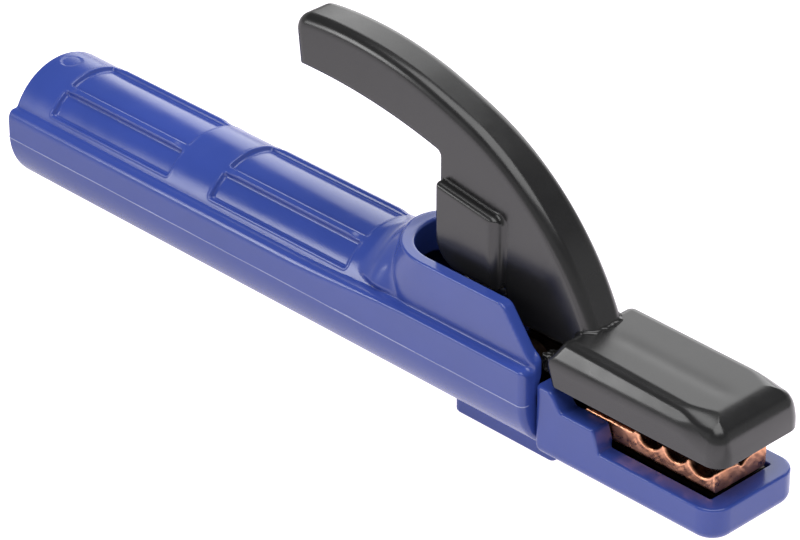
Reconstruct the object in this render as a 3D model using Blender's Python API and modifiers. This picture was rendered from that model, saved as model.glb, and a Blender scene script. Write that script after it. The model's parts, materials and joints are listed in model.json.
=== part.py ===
"""Tong-type welding electrode holder.

Metres, +Z up, +X from the cable end towards the jaws. The pieces are modelled in handle coordinates:
x along the sleeve, y from the mid-plane and z from the sleeve's axis. The "holder" empty
moves them so that the world's origin lies on the flat face of the keel.
"""

import math

import bmesh
import bpy
from mathutils import Matrix, Vector

# Sleeve
SLEEVE_HALF = 0.0185
SLEEVE_DEPTH = 0.0168
SLEEVE_REAR = -0.0006
SLEEVE_FRONT = 0.186
SLEEVE_TOP_R = 0.0171
LEDGE_Z = 0.0075
SHOULDER_R = 0.003
BORE_R = 0.0135
GRIP_DEPTH = 0.0011
RIB_R = 0.0178
RIB_ANGLES = ((59, 64.5), (115.5, 121))
GRIP_SETS = ((0.0125, 0.0575), (0.073, 0.122))
GRIP_ANGLES = ((65, 115), (121.5, 147), (33, 58.5))

# Shroud round the lever's base, and the keel under it
SHROUD_HALF = 0.0155
SHROUD_WALL = 0.0035
SHROUD_TOP = 0.0226
SHROUD_REAR = 0.1485
SHROUD_FRONT = 0.176
SHROUD_NOSE_Z = 0.0112
KEEL_HALF = 0.008
KEEL_BOTTOM = -0.0202
KEEL_REAR = 0.1535
KEEL_FRONT = 0.1872
KEEL_FACE_X = 0.172
KEEL_ROOT_Z = -0.0144
HANDLE_SCREW_X = 0.1615

# Lower jaw and its tray
TRAY_HALF = 0.01506
TRAY_REAR = SLEEVE_FRONT + 0.0003
TRAY_FRONT = 0.2429
TRAY_BOTTOM = -0.0138
TRAY_TOP = -0.00484
JAW_HALF = 0.00908
JAW_REAR = 0.197
JAW_FRONT = 0.2372
JAW_FLAT_END = 0.212
JAW_TOP = 0.0017
JAW_GROOVES = (0.2175, 0.2253, 0.2330)
GROOVE_R = 0.0037
GROOVE_AXIS_Z = (0.0028, 0.0009)
TONGUE_BOTTOM = -0.009
TONGUE_TOP = -0.0049
TRAY_SCREW_X = (0.2015, 0.218)
TRAY_BEVEL = 0.0029
BOSS_R = 0.0095
BOSS_BOTTOM = -0.0174

# Lever
PIVOT = Vector((0.178, 0, 0.004))
WEB_HALF = 0.006
BOSS_HALF = 0.0088
COVER_HALF = 0.0146
COVER_REAR = 0.1909
COVER_FRONT = 0.2432
COVER_BOTTOM = 0.0064
COVER_TOP = 0.0190
CORE_HALF = 0.003
CORE_WIDTH = 0.0080
ARM_HALF = 0.0088
ARM_BOTTOM = 0.0077
ARM_TOP = 0.0122
UPPER_SCREW_X = 0.2045
COVER_SCREW_X = 0.1938

# Hinge and spring
PIN_R = 0.003
EYE_R = 0.0072
EYE_HALF = 0.0057
EAR_INNER = 0.0063
EAR_OUTER = 0.0093
EAR_R = 0.0062
EAR_BOTTOM = -0.0072
SPRING_X = 0.157
SPRING_COIL_R = 0.0054
WIRE_R = 0.0009
WASHER = 0.0012
SPRING_TURNS = 6.5
SPRING_SEAT_R = 0.0069
SPRING_CAP_Z = 0.0213
FLOOR_Z = -0.005

# Cable socket
SOCKET_REAR = 0.055
SOCKET_FRONT = 0.103
SOCKET_R = 0.013
BODY_FRONT = 0.1835
CABLE_R = 0.0086
CLAMP_SCREW_X = (0.068, 0.090)
CLAMP_SCREW_TOP = 0.0127
CLAMP_SCREW_LENGTH = 0.009

GAP = 0.0003
BIG = 0.05


# ---------------------------------------------------------------- scene, materials and placing

for old in list(bpy.data.objects):
    bpy.data.objects.remove(old, do_unlink=True)

PARTS = bpy.data.collections.new("electrode_holder")
CUTTERS = bpy.data.collections.new("cutters")
bpy.context.scene.collection.children.link(PARTS)
bpy.context.scene.collection.children.link(CUTTERS)


def empty(name, location, parent=None):
    made = bpy.data.objects.new(name, None)
    made.location = location
    made.parent = parent
    PARTS.objects.link(made)
    return made


HOLDER = empty("holder", (-KEEL_FACE_X, 0, -KEEL_BOTTOM))
LEVER = empty("lever_pivot", PIVOT, HOLDER)


def material(name, color, roughness, metallic=0.0):
    made = bpy.data.materials.new(name)
    made.use_nodes = True
    shader = made.node_tree.nodes["Principled BSDF"]
    shader.inputs["Base Color"].default_value = (*color, 1)
    shader.inputs["Roughness"].default_value = roughness
    shader.inputs["Metallic"].default_value = metallic
    return made


BLUE = material("blue_plastic", (0.045, 0.075, 0.42), 0.35)
BLACK = material("black_plastic", (0.02, 0.02, 0.021), 0.38)
COPPER = material("copper", (0.80, 0.42, 0.26), 0.28, 1.0)
BRASS = material("brass", (0.66, 0.50, 0.23), 0.40, 1.0)
STEEL = material("zinc_steel", (0.58, 0.58, 0.60), 0.35, 1.0)
SPRING_STEEL = material("spring_steel", (0.20, 0.20, 0.21), 0.40, 1.0)
FIBRE = material("fibre", (0.35, 0.10, 0.05), 0.70)


def add(name, mesh, surface=None, parent=HOLDER):
    """An object in handle coordinates. With no surface it is a cutter."""
    made = bpy.data.objects.new(name, mesh)
    made.parent = parent
    if parent is LEVER:
        made.matrix_parent_inverse = Matrix.Translation(-PIVOT)
    if surface is None:
        CUTTERS.objects.link(made)
        made.hide_render = True
        made.display_type = "WIRE"
    else:
        PARTS.objects.link(made)
        mesh.materials.append(surface)
    return made


# ---------------------------------------------------------------- outlines

def arc(centre, radius, start, end, steps):
    """Points on a circle from one angle to another, in degrees."""
    turn = [math.radians(start + (end - start) * i / steps) for i in range(steps + 1)]
    return [(centre[0] + radius * math.cos(t), centre[1] + radius * math.sin(t)) for t in turn]


def bulge(start, end, radius, steps):
    """Points on the arc from start to end that lies left of the chord, leaving out its ends."""
    a = Vector(start)
    b = Vector(end)
    half = (b - a) / 2
    side = Vector((-half.y, half.x)).normalized()
    centre = a + half - side * math.sqrt(radius**2 - half.length_squared)
    first = math.atan2(*(a - centre).yx)
    turn = (math.atan2(*(b - centre).yx) - first + math.pi) % math.tau - math.pi
    angles = [first + turn * i / steps for i in range(1, steps)]
    return [tuple(centre + radius * Vector((math.cos(t), math.sin(t)))) for t in angles]


def rounded(corners, steps=4):
    """A closed outline from corners (u, v) or (u, v, radius), with each given radius as an arc."""
    points = []
    for i, corner in enumerate(corners):
        here = Vector(corner[:2])
        if len(corner) == 2:
            points.append(tuple(here))
            continue
        before = (Vector(corners[i - 1][:2]) - here).normalized()
        after = (Vector(corners[(i + 1) % len(corners)][:2]) - here).normalized()
        half = before.angle(after) / 2
        reach = corner[2] / math.tan(half)
        centre = here + (before + after).normalized() * corner[2] / math.sin(half)
        first = here + before * reach - centre
        sweep = math.pi - 2 * half
        if first.x * (here - centre).y - first.y * (here - centre).x < 0:
            sweep = -sweep
        for k in range(steps + 1):
            points.append(tuple(centre + Matrix.Rotation(sweep * k / steps, 2) @ first))
    return points


def box_outline(u0, u1, v0, v1, radius=None, steps=3):
    corners = ((u0, v0), (u1, v0), (u1, v1), (u0, v1))
    if radius is None:
        return list(corners)
    return rounded([(*c, radius) for c in corners], steps)


def strip(points, half):
    """The outline of a bar of even width along a line of points."""
    left, right = [], []
    for i, point in enumerate(points):
        here = Vector(point)
        before = here - Vector(points[max(i - 1, 0)])
        after = Vector(points[min(i + 1, len(points) - 1)]) - here
        along = (before.normalized() + after.normalized()).normalized()
        reach = half / max(along.dot(after.normalized()), along.dot(before.normalized()))
        side = Vector((-along.y, along.x)) * reach
        left.append(tuple(here + side))
        right.append(tuple(here - side))
    return left + right[::-1]


# ---------------------------------------------------------------- solids

AXES = {
    "side": Matrix(((1, 0, 0), (0, 0, -1), (0, 1, 0))).to_4x4(),  # outline in x, z
    "plan": Matrix.Identity(4),                                   # outline in x, y
    "end": Matrix(((0, 0, 1), (1, 0, 0), (0, 1, 0))).to_4x4(),    # outline in y, z
}
NORMAL = {"side": Vector((0, 1, 0)), "plan": Vector((0, 0, 1)), "end": Vector((1, 0, 0))}


def flat(name, outline, view, low, high, surface=None, parent=HOLDER):
    """A flat outline, seen from the side, in plan or from the end, extruded from low to high."""
    curve = bpy.data.curves.new(name, "CURVE")
    curve.dimensions = "2D"
    curve.fill_mode = "BOTH"
    curve.extrude = (high - low) / 2
    spline = curve.splines.new("POLY")
    spline.points.add(len(outline) - 1)
    for point, (u, v) in zip(spline.points, outline):
        point.co = (u, v, 0, 1)
    spline.use_cyclic_u = True
    drawn = bpy.data.objects.new(name, curve)
    CUTTERS.objects.link(drawn)
    bpy.context.view_layer.update()
    seen = drawn.evaluated_get(bpy.context.evaluated_depsgraph_get())
    mesh = bpy.data.meshes.new_from_object(seen)
    bpy.data.objects.remove(drawn, do_unlink=True)
    bpy.data.curves.remove(curve)
    shape = bmesh.new()
    shape.from_mesh(mesh)
    bmesh.ops.remove_doubles(shape, verts=shape.verts, dist=1e-6)
    middle = Matrix.Translation(NORMAL[view] * (low + high) / 2)
    bmesh.ops.transform(shape, matrix=middle @ AXES[view], verts=shape.verts)
    bmesh.ops.recalc_face_normals(shape, faces=shape.faces)
    shape.to_mesh(mesh)
    shape.free()
    mesh.materials.clear()
    return add(name, mesh, surface, parent)


def rod(name, radius, start, end, surface=None, parent=HOLDER, segments=32, end_radius=None):
    """A round bar, or a cone, from start to end."""
    a = Vector(start)
    b = Vector(end)
    turn = (b - a).to_track_quat("Z", "Y").to_matrix().to_4x4()
    shape = bmesh.new()
    bmesh.ops.create_cone(
        shape, cap_ends=True, segments=segments, radius1=radius,
        radius2=radius if end_radius is None else end_radius, depth=(b - a).length,
        matrix=Matrix.Translation((a + b) / 2) @ turn @ Matrix.Rotation(math.pi / segments, 4, "Z"),
    )
    mesh = bpy.data.meshes.new(name)
    shape.to_mesh(mesh)
    shape.free()
    mesh.shade_smooth()
    mesh.set_sharp_from_angle(angle=math.radians(35))
    return add(name, mesh, surface, parent)


def turned(name, profile, base, direction, surface, parent=HOLDER, steps=32):
    """A profile of (radius, height), from its top down its outer side, turned about an axis from base."""
    mesh = bpy.data.meshes.new(name)
    edges = [(i, i + 1) for i in range(len(profile) - 1)]
    if profile[0][0] > 0:
        edges.append((len(profile) - 1, 0))
    mesh.from_pydata([(r, 0, h) for r, h in profile], edges, [])
    made = add(name, mesh, surface, parent)
    made.rotation_euler = Vector(direction).to_track_quat("Z", "Y").to_euler()
    made.location = base
    screw = made.modifiers.new("turn", "SCREW")
    screw.steps = screw.render_steps = steps
    screw.use_merge_vertices = True
    screw.merge_threshold = 1e-6
    screw.use_smooth_shade = True
    return made


def boolean(target, operation, others):
    for other in others:
        step = target.modifiers.new(other.name, "BOOLEAN")
        step.operation = operation
        step.object = other
    return target


def cut(target, *cutters):
    return boolean(target, "DIFFERENCE", cutters)


def join(target, *others):
    return boolean(target, "UNION", others)


def bevel(target, width, segments=2, degrees=40):
    step = target.modifiers.new("bevel", "BEVEL")
    step.width = width
    step.segments = segments
    step.limit_method = "ANGLE"
    step.angle_limit = math.radians(degrees)
    return target


def hex_socket(name, across, start, end):
    return rod(name, across / math.sqrt(3), start, end, segments=6)


# ---------------------------------------------------------------- handle sleeve

def sleeve_outline():
    """Half an ellipse below, a rounded shoulder up to the ledge on each side, and an arc on top."""
    ledge = math.degrees(math.asin(LEDGE_Z / SLEEVE_TOP_R))
    widen = SLEEVE_HALF / SLEEVE_DEPTH
    under = [(y * widen, z) for y, z in arc((0, 0), SLEEVE_DEPTH, 0, -180, 24)]
    over = arc((0, 0), SLEEVE_TOP_R, 180 - ledge, ledge, 18)
    middle = (SLEEVE_HALF - SHOULDER_R, LEDGE_Z - SHOULDER_R + 0.0004)
    right = arc(middle, SHOULDER_R, 60, 0, 3)
    left = [(-y, z) for y, z in reversed(right)]
    return under + left + over + right


def shroud():
    """Side walls and round back of the lever's pocket, as one solid before the pocket is cut."""
    side = [
        (0.120, 0.002), (SHROUD_FRONT + 0.010, 0.002), (SHROUD_FRONT + 0.010, SHROUD_NOSE_Z),
        (SHROUD_FRONT, SHROUD_TOP), (0.120, SHROUD_TOP),
    ]
    solid = flat("shroud_solid", side, "side", -SHROUD_HALF, SHROUD_HALF)
    back = arc((SHROUD_REAR, 0), SHROUD_HALF, 90, 270, 16)
    plan = back + [(0.2, -SHROUD_HALF), (0.2, SHROUD_HALF)]
    outline = flat("shroud_plan", plan, "plan", 0, 0.03)
    return boolean(solid, "INTERSECT", [outline])


def grip_cutters():
    low = SLEEVE_TOP_R - GRIP_DEPTH
    made = []
    for i, (x0, x1) in enumerate(GRIP_SETS):
        for k, (a0, a1) in enumerate(GRIP_ANGLES):
            steps = 6 if k == 0 else 3
            sector = arc((0, 0), low, a0, a1, steps) + arc((0, 0), 0.0195, a1, a0, steps)
            made.append(flat(f"grip_{i}_{k}", sector, "end", x0, x1))
    return made


def grip_ribs():
    made = []
    for i, (x0, x1) in enumerate(GRIP_SETS):
        for k, (a0, a1) in enumerate(RIB_ANGLES):
            sector = arc((0, 0), BORE_R + 0.001, a0, a1, 2) + arc((0, 0), RIB_R, a1, a0, 2)
            made.append(flat(f"rib_{i}_{k}", sector, "end", x0 - 0.001, x1 + 0.001))
    return made


def handle_sleeve():
    sleeve = flat("handle_sleeve", sleeve_outline(), "end", SLEEVE_REAR, SLEEVE_FRONT, BLUE)
    keel_side = rounded([
        (KEEL_REAR, KEEL_BOTTOM, 0.0012), (KEEL_FRONT, KEEL_BOTTOM, 0.0028),
        (KEEL_FRONT, KEEL_ROOT_Z), (KEEL_REAR - 0.0015, KEEL_ROOT_Z),
    ])
    keel = flat("keel", keel_side, "side", -KEEL_HALF, KEEL_HALF)
    cut(sleeve, *grip_cutters())
    join(sleeve, shroud(), keel, *grip_ribs())
    pocket_half = SHROUD_HALF - SHROUD_WALL
    back = arc((SHROUD_REAR, 0), pocket_half, 90, 270, 16)
    pocket = back + [(0.2, -pocket_half), (0.2, pocket_half)]
    below = (HANDLE_SCREW_X, 0, -0.03)
    cut(
        sleeve,
        rod("bore", BORE_R, (-0.002, 0, 0), (0.19, 0, 0)),
        flat("lever_pocket", pocket, "plan", 0, BIG),
        rod("handle_screw_hole", 0.0028, below, (HANDLE_SCREW_X, 0, -0.01), segments=20),
        rod("handle_screw_sink", 0.0047, below, (HANDLE_SCREW_X, 0, -0.0165), segments=20),
    )
    return sleeve


def pan_screw(name, x, z, length, head_r, shank_r, up=1, parent=HOLDER):
    """A screw along z with its head's outer face at z. Up is the way its shank points."""
    head = 0.0022
    profile = [
        (0, 0), (head_r * 0.85, 0), (head_r, -0.0006), (head_r, -head),
        (shank_r, -head), (shank_r, -length + 0.0006), (shank_r * 0.7, -length), (0, -length),
    ]
    screw = turned(name, profile, (x, 0, z), (0, 0, -up), STEEL, parent, 20)
    deep = z + up * 0.0012
    slot = flat(
        name + "_slot", box_outline(x - BIG / 4, x + BIG / 4, -0.0005, 0.0005), "plan",
        min(deep, z - up * 0.01), max(deep, z - up * 0.01),
    )
    return cut(screw, slot)


# ---------------------------------------------------------------- lower jaw tray

def lower_jaw_insulator():
    plan = rounded([
        (TRAY_REAR, -TRAY_HALF, 0.001), (TRAY_FRONT, -TRAY_HALF, 0.006),
        (TRAY_FRONT, TRAY_HALF, 0.006), (TRAY_REAR, TRAY_HALF, 0.001),
    ], 5)
    tray = bevel(flat("lower_jaw_insulator", plan, "plan", TRAY_BOTTOM, 0.012, BLUE), TRAY_BEVEL, 3)
    steps = rounded([
        (0.18, 0.005), (0.1925, 0.005, 0.0012), (0.1940, 0.0008, 0.001), (0.2051, 0.0008, 0.0008),
        (0.2062, TRAY_TOP, 0.001), (0.26, TRAY_TOP), (0.26, 0.02), (0.18, 0.02),
    ], 3)
    wide = JAW_HALF + 0.0012
    narrow = JAW_HALF + GAP
    front_slot = box_outline(0.2062, JAW_FRONT + GAP, -wide, wide)
    rear_slot = box_outline(0.17, 0.207, -narrow, narrow)
    cut(
        tray,
        flat("tray_steps", steps, "side", -BIG, BIG),
        flat("tray_slot", front_slot, "plan", TONGUE_BOTTOM - GAP, 0.01),
        flat("tray_rear_slot", rear_slot, "plan", TONGUE_BOTTOM - GAP, 0.02),
    )
    boss_x = TRAY_SCREW_X[1]
    join(tray, rod("tray_boss", BOSS_R, (boss_x, 0, BOSS_BOTTOM), (boss_x, 0, -0.012)))
    for x, face in zip(TRAY_SCREW_X, (TRAY_BOTTOM, BOSS_BOTTOM)):
        cut(
            tray,
            rod(f"tray_hole_{x}", 0.0023, (x, 0, -0.02), (x, 0, 0), segments=20),
            rod(f"tray_sink_{x}", 0.0040, (x, 0, -0.02), (x, 0, face + 0.0026), segments=20),
        )
    return tray


def groove_cutters(name, face_z, axis_z):
    """Round-bottomed grooves across a jaw's face, and a V along it, for holding the electrode."""
    made = [
        rod(f"{name}_{i}", GROOVE_R, (x, -BIG, axis_z), (x, BIG, axis_z), segments=12)
        for i, x in enumerate(JAW_GROOVES)
    ]
    middle = 0.0008
    half = 0.0014
    into = math.copysign(0.0016, face_z - axis_z)
    v_shape = [
        (middle - half, face_z), (middle, face_z + into),
        (middle + half, face_z), (middle, face_z - 2 * into),
    ]
    made.append(flat(f"{name}_along", v_shape, "end", JAW_FLAT_END, JAW_FRONT + BIG))
    return made


def lower_jaw():
    side = [
        (JAW_REAR, TONGUE_TOP + GAP), (JAW_FRONT, TONGUE_TOP + GAP), (JAW_FRONT, JAW_TOP),
        (JAW_FLAT_END + 0.0006, JAW_TOP), (JAW_FLAT_END, 0.001), (JAW_REAR, 0.001),
    ]
    jaw = flat("lower_jaw", side, "side", -JAW_HALF, JAW_HALF, COPPER)
    cut(jaw, *groove_cutters("lower_groove", JAW_TOP, GROOVE_AXIS_Z[0]))
    for x in TRAY_SCREW_X:
        cut(jaw, rod(f"jaw_hole_{x}", 0.0020, (x, 0, -0.02), (x, 0, -0.0010), segments=20))
    return jaw


# ---------------------------------------------------------------- conductor body

def conductor_body():
    body = rod("conductor_body", SOCKET_R, (SOCKET_REAR, 0, 0), (BODY_FRONT, 0, 0), BRASS)
    bar_half = 0.007
    for side in (-1, 1):
        low, high = sorted((side * bar_half, side * BIG))
        waist = box_outline(0.110, 0.166, low, high, 0.003)
        cut(body, flat(f"bar_side_{side}", waist, "plan", -BIG, BIG))
    far = BODY_FRONT + BIG
    above = rounded([(SOCKET_FRONT, FLOOR_Z, 0.004), (far, FLOOR_Z), (far, BIG), (SOCKET_FRONT, BIG)])
    cut(body, flat("above_floor", above, "side", -BIG, BIG))
    ear_side = arc((PIVOT.x, PIVOT.z), EAR_R, 0, 180, 12) + [
        (PIVOT.x - EAR_R, EAR_BOTTOM), (PIVOT.x + EAR_R, EAR_BOTTOM),
    ]
    tongue = box_outline(0.170, JAW_FRONT, TONGUE_BOTTOM, TONGUE_TOP)
    spigot_foot = (SPRING_X, 0, FLOOR_Z - 0.002)
    spigot_top = (SPRING_X, 0, FLOOR_Z + 0.003)
    join(
        body,
        flat("tongue", tongue, "side", -ARM_HALF, ARM_HALF),
        flat("ear_left", ear_side, "side", EAR_INNER, EAR_OUTER),
        flat("ear_right", ear_side, "side", -EAR_OUTER, -EAR_INNER),
        rod("spring_spigot", 0.0030, spigot_foot, spigot_top, segments=20),
    )
    screw_low = (HANDLE_SCREW_X, 0, -0.02)
    screw_end = (HANDLE_SCREW_X, 0, -0.0078)
    cut(
        body,
        rod("cable_bore", CABLE_R, (SOCKET_REAR - 0.001, 0, 0), (SOCKET_FRONT - 0.004, 0, 0)),
        rod("pin_bore", PIN_R + 0.00015, (PIVOT.x, -0.02, PIVOT.z), (PIVOT.x, 0.02, PIVOT.z), segments=24),
        rod("body_screw_hole", 0.0028, screw_low, screw_end, segments=20),
    )
    for x in CLAMP_SCREW_X:
        cut(body, rod(f"clamp_hole_{x}", 0.0033, (x, 0, 0), (x, 0, 0.02), segments=24))
    for x in TRAY_SCREW_X:
        cut(body, rod(f"tongue_hole_{x}", 0.0023, (x, 0, -0.02), (x, 0, 0), segments=20))
    return body


# ---------------------------------------------------------------- cable clamp

def cable_clamp():
    """Two set screws, the saddle that they press on the cable, and the shim under the cable."""
    screw_end = CLAMP_SCREW_TOP - CLAMP_SCREW_LENGTH
    saddle_top = screw_end - GAP
    for name, x in zip(("clamp_screw_rear", "clamp_screw_front"), CLAMP_SCREW_X):
        screw = rod(name, 0.0030, (x, 0, screw_end), (x, 0, CLAMP_SCREW_TOP), STEEL, segments=24)
        cut(screw, hex_socket(name + "_socket", 0.003, (x, 0, CLAMP_SCREW_TOP - 0.003), (x, 0, 0.02)))
    under = arc((0, saddle_top + 0.012), 0.014, -113, -67, 6)
    section = [(under[0][0], saddle_top), *under, (under[-1][0], saddle_top)]
    flat("clamp_saddle", section, "end", CLAMP_SCREW_X[0] - 0.006, CLAMP_SCREW_X[1] + 0.006, BRASS)
    outer = CABLE_R - GAP
    ring = arc((0, 0), outer, 200, 340, 12) + arc((0, 0), outer - 0.0006, 340, 200, 12)
    flat("cable_shim", ring, "end", SOCKET_REAR + 0.001, SOCKET_FRONT - 0.006, COPPER)


# ---------------------------------------------------------------- lever

CORE_LINE = ((PIVOT.x, PIVOT.z), (0.1745, 0.024), (0.1660, 0.0385), (0.1500, 0.0505), (0.1260, 0.0588))


def lever_top():
    """The lever's back, from its tip to the jaw cover, as two arcs."""
    crown = (0.1495, 0.0606)
    foot = (0.1943, 0.0200)
    return bulge((0.1010, 0.0672), crown, 0.107, 9) + [crown] + bulge(crown, foot, 0.0752, 10) + [foot]


def lever_outline():
    """Side view of the lever: its tip, its underside, the pillar over the spring and its back."""
    tip_top = rounded([(0.1010, 0.0672), (0.0968, 0.0668, 0.0036), (0.0982, 0.0534)], 5)[1:-1]
    tip_low = rounded([(0.0975, 0.0600), (0.0984, 0.0533, 0.0016), (0.1200, 0.0528)], 3)[1:-1]
    under = bulge((0.1453, 0.0474), (0.1010, 0.0532), 0.170, 6)[::-1]
    pillar = rounded([
        (0.1350, 0.0500), (0.1457, 0.0472, 0.0008), (0.1458, 0.0202, 0.0066), (0.1672, 0.0202, 0.0010),
        (0.1683, 0.0117), (0.1906, 0.0117), (0.1906, 0.0193), (0.1946, 0.0193), (0.1946, 0.0198),
    ])[1:-1]
    return tip_top + tip_low + under + pillar + lever_top()[::-1]


def lever_grip():
    grip = bevel(flat("lever_grip", lever_outline(), "side", -WEB_HALF, WEB_HALF, BLACK, LEVER), 0.0018, 2)
    boss = rounded([
        (0.1466, 0.0412, 0.0015), (0.1466, 0.0190, 0.0080),
        (0.1662, 0.0190, 0.0010), (0.1662, 0.0383, 0.0015),
    ], 3)
    housing = bevel(flat("spring_housing", boss, "side", -BOSS_HALF, BOSS_HALF), 0.0014, 2)
    join(grip, housing)
    slot_half = CORE_HALF + GAP
    cut(
        grip,
        flat("core_slot", strip(CORE_LINE, CORE_WIDTH / 2 + GAP), "side", -slot_half, slot_half),
        rod("spring_socket", 0.0073, (SPRING_X, 0, 0.01), (SPRING_X, 0, 0.0229), segments=28),
    )
    return grip


def lever_core():
    core = flat("lever_core", strip(CORE_LINE, CORE_WIDTH / 2), "side", -CORE_HALF, CORE_HALF, BRASS, LEVER)
    neck = [(0.178, 0.0035), (0.1875, 0.0035), (0.1905, ARM_BOTTOM), (0.1905, 0.0112), (0.178, 0.0112)]
    arm = rounded([
        (0.1865, ARM_BOTTOM), (JAW_FRONT - 0.001, ARM_BOTTOM), (JAW_FRONT - 0.001, ARM_TOP, 0.002),
        (0.1920, ARM_TOP), (0.1920, 0.0112), (0.1865, 0.0112),
    ])
    join(
        core,
        rod("eye", EYE_R, (PIVOT.x, -EYE_HALF, PIVOT.z), (PIVOT.x, EYE_HALF, PIVOT.z)),
        flat("neck", neck, "side", -EYE_HALF, EYE_HALF),
        flat("jaw_arm", arm, "side", -ARM_HALF, ARM_HALF),
    )
    cut(
        core,
        rod("bush_bore", 0.0048, (PIVOT.x, -0.02, PIVOT.z), (PIVOT.x, 0.02, PIVOT.z), segments=24),
        rod("upper_jaw_thread", 0.0020, (UPPER_SCREW_X, 0, 0), (UPPER_SCREW_X, 0, 0.0115), segments=20),
        rod("cover_hole", 0.0020, (COVER_SCREW_X, 0, 0), (COVER_SCREW_X, 0, 0.02), segments=20),
    )
    return core


def upper_jaw():
    side = box_outline(JAW_REAR + 0.0005, JAW_FRONT, JAW_TOP + GAP, ARM_BOTTOM - GAP)
    jaw = flat("upper_jaw", side, "side", -ARM_HALF, ARM_HALF, COPPER, LEVER)
    cut(jaw, *groove_cutters("upper_groove", JAW_TOP + GAP, GROOVE_AXIS_Z[1]))
    return cut(
        jaw,
        rod("upper_jaw_hole", 0.0020, (UPPER_SCREW_X, 0, 0), (UPPER_SCREW_X, 0, 0.02), segments=20),
        rod("upper_jaw_sink", 0.0036, (UPPER_SCREW_X, 0, 0), (UPPER_SCREW_X, 0, 0.0048), segments=20),
    )


def upper_jaw_cover():
    low = COVER_BOTTOM - 0.0035
    side = rounded([
        (0.1966, low), (COVER_FRONT, low), (COVER_FRONT, 0.0178, 0.0045), (0.1925, COVER_TOP, 0.0012),
        (0.1888, 0.0122, 0.001), (0.1903, 0.0078, 0.001), (0.1966, COVER_BOTTOM),
    ], 4)
    cover = flat("upper_jaw_cover", side, "side", -COVER_HALF, COVER_HALF, BLACK, LEVER)
    bevel(cover, 0.0032, 3, 60)
    inner = JAW_HALF + GAP
    return cut(
        cover,
        flat("cover_base", box_outline(0.18, 0.26, -BIG, BIG), "plan", -BIG, COVER_BOTTOM),
        flat("cover_cavity", box_outline(0.18, 0.2390, -inner, inner), "plan", -0.01, ARM_TOP + GAP),
        flat("cover_notch", box_outline(0.18, COVER_REAR, -0.0064, 0.0064), "plan", 0, BIG),
        rod("cover_thread", 0.0020, (COVER_SCREW_X, 0, 0.01), (COVER_SCREW_X, 0, 0.0168), segments=20),
    )


# ---------------------------------------------------------------- hinge and spring

def hinge():
    """Headed pin, its clip, and the bush that the lever turns on."""
    along = (0, -1, 0)
    base = (PIVOT.x, 0, PIVOT.z)
    groove = 0.0022
    pin = [
        (0, 0.0113), (0.0042, 0.0113), (0.0047, 0.0108), (0.0047, EAR_OUTER + GAP),
        (PIN_R, EAR_OUTER + GAP),
        (PIN_R, -0.0098), (groove, -0.0098), (groove, -0.0107), (PIN_R, -0.0107),
        (PIN_R, -0.0113), (PIN_R - 0.0004, -0.0117), (0, -0.0117),
    ]
    turned("hinge_pin", pin, base, along, STEEL, HOLDER, 24)
    clip = [(0.0048, -0.0099), (0.0048, -0.0106), (groove + 0.0002, -0.0106), (groove + 0.0002, -0.0099)]
    turned("pin_clip", clip, base, along, SPRING_STEEL, HOLDER, 24)
    half = EYE_HALF - 0.0001
    bush = [(0.0045, half), (0.0045, -half), (PIN_R + 0.0001, -half), (PIN_R + 0.0001, half)]
    turned("hinge_bush", bush, base, along, BRASS, LEVER, 24)


def spring_seats():
    """The insulating washer under the spring, and the steel cap that centres its top."""
    seat = FLOOR_Z + GAP
    top = seat + WASHER
    washer = [(SPRING_SEAT_R, top), (SPRING_SEAT_R, seat), (0.0034, seat), (0.0034, top)]
    turned("spring_washer", washer, (SPRING_X, 0, 0), (0, 0, 1), FIBRE, HOLDER, 28)
    crown = SPRING_CAP_Z + 0.0013
    cap = [
        (0, crown), (SPRING_SEAT_R, crown), (SPRING_SEAT_R, SPRING_CAP_Z),
        (0.0040, SPRING_CAP_Z), (0.0036, 0.0185), (0, 0.0185),
    ]
    turned("spring_cap", cap, (SPRING_X, 0, 0), (0, 0, 1), STEEL, LEVER, 28)


def spring():
    """Compression spring with closed end turns, between the washer and the cap."""
    bottom = FLOOR_Z + WASHER + 2 * GAP + WIRE_R
    rise = SPRING_CAP_Z - GAP - WIRE_R - bottom
    curve = bpy.data.curves.new("lever_spring", "CURVE")
    curve.dimensions = "3D"
    curve.bevel_depth = WIRE_R
    curve.bevel_resolution = 2
    curve.use_fill_caps = True
    spline = curve.splines.new("POLY")
    count = int(SPRING_TURNS * 12)
    closed_turns = 0.75
    spline.points.add(count)
    for i, point in enumerate(spline.points):
        turns = SPRING_TURNS * i / count
        climb = (turns - closed_turns) / (SPRING_TURNS - 2 * closed_turns)
        height = bottom + rise * min(1, max(0, climb))
        turn = math.tau * turns
        point.co = (SPRING_COIL_R * math.cos(turn), SPRING_COIL_R * math.sin(turn), height, 1)
    made = add("lever_spring", curve, SPRING_STEEL)
    made.location = (SPRING_X, 0, 0)
    return made


# ---------------------------------------------------------------- the holder

handle_sleeve()
lower_jaw_insulator()
lower_jaw()
conductor_body()
cable_clamp()
pan_screw("handle_screw", HANDLE_SCREW_X, KEEL_BOTTOM + 0.0012, 0.0110, 0.0043, 0.0025)
pan_screw("tray_screw_rear", TRAY_SCREW_X[0], TRAY_BOTTOM, 0.0125, 0.0036, 0.0017)
pan_screw("tray_screw_front", TRAY_SCREW_X[1], BOSS_BOTTOM, 0.0152, 0.0036, 0.0017)
lever_grip()
lever_core()
upper_jaw()
upper_jaw_cover()
pan_screw("upper_jaw_screw", UPPER_SCREW_X, 0.0022, 0.0088, 0.0032, 0.0017, parent=LEVER)
pan_screw("cover_screw", COVER_SCREW_X, 0.0052, 0.0110, 0.0029, 0.0017, parent=LEVER)
hinge()
spring_seats()
spring()
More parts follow.
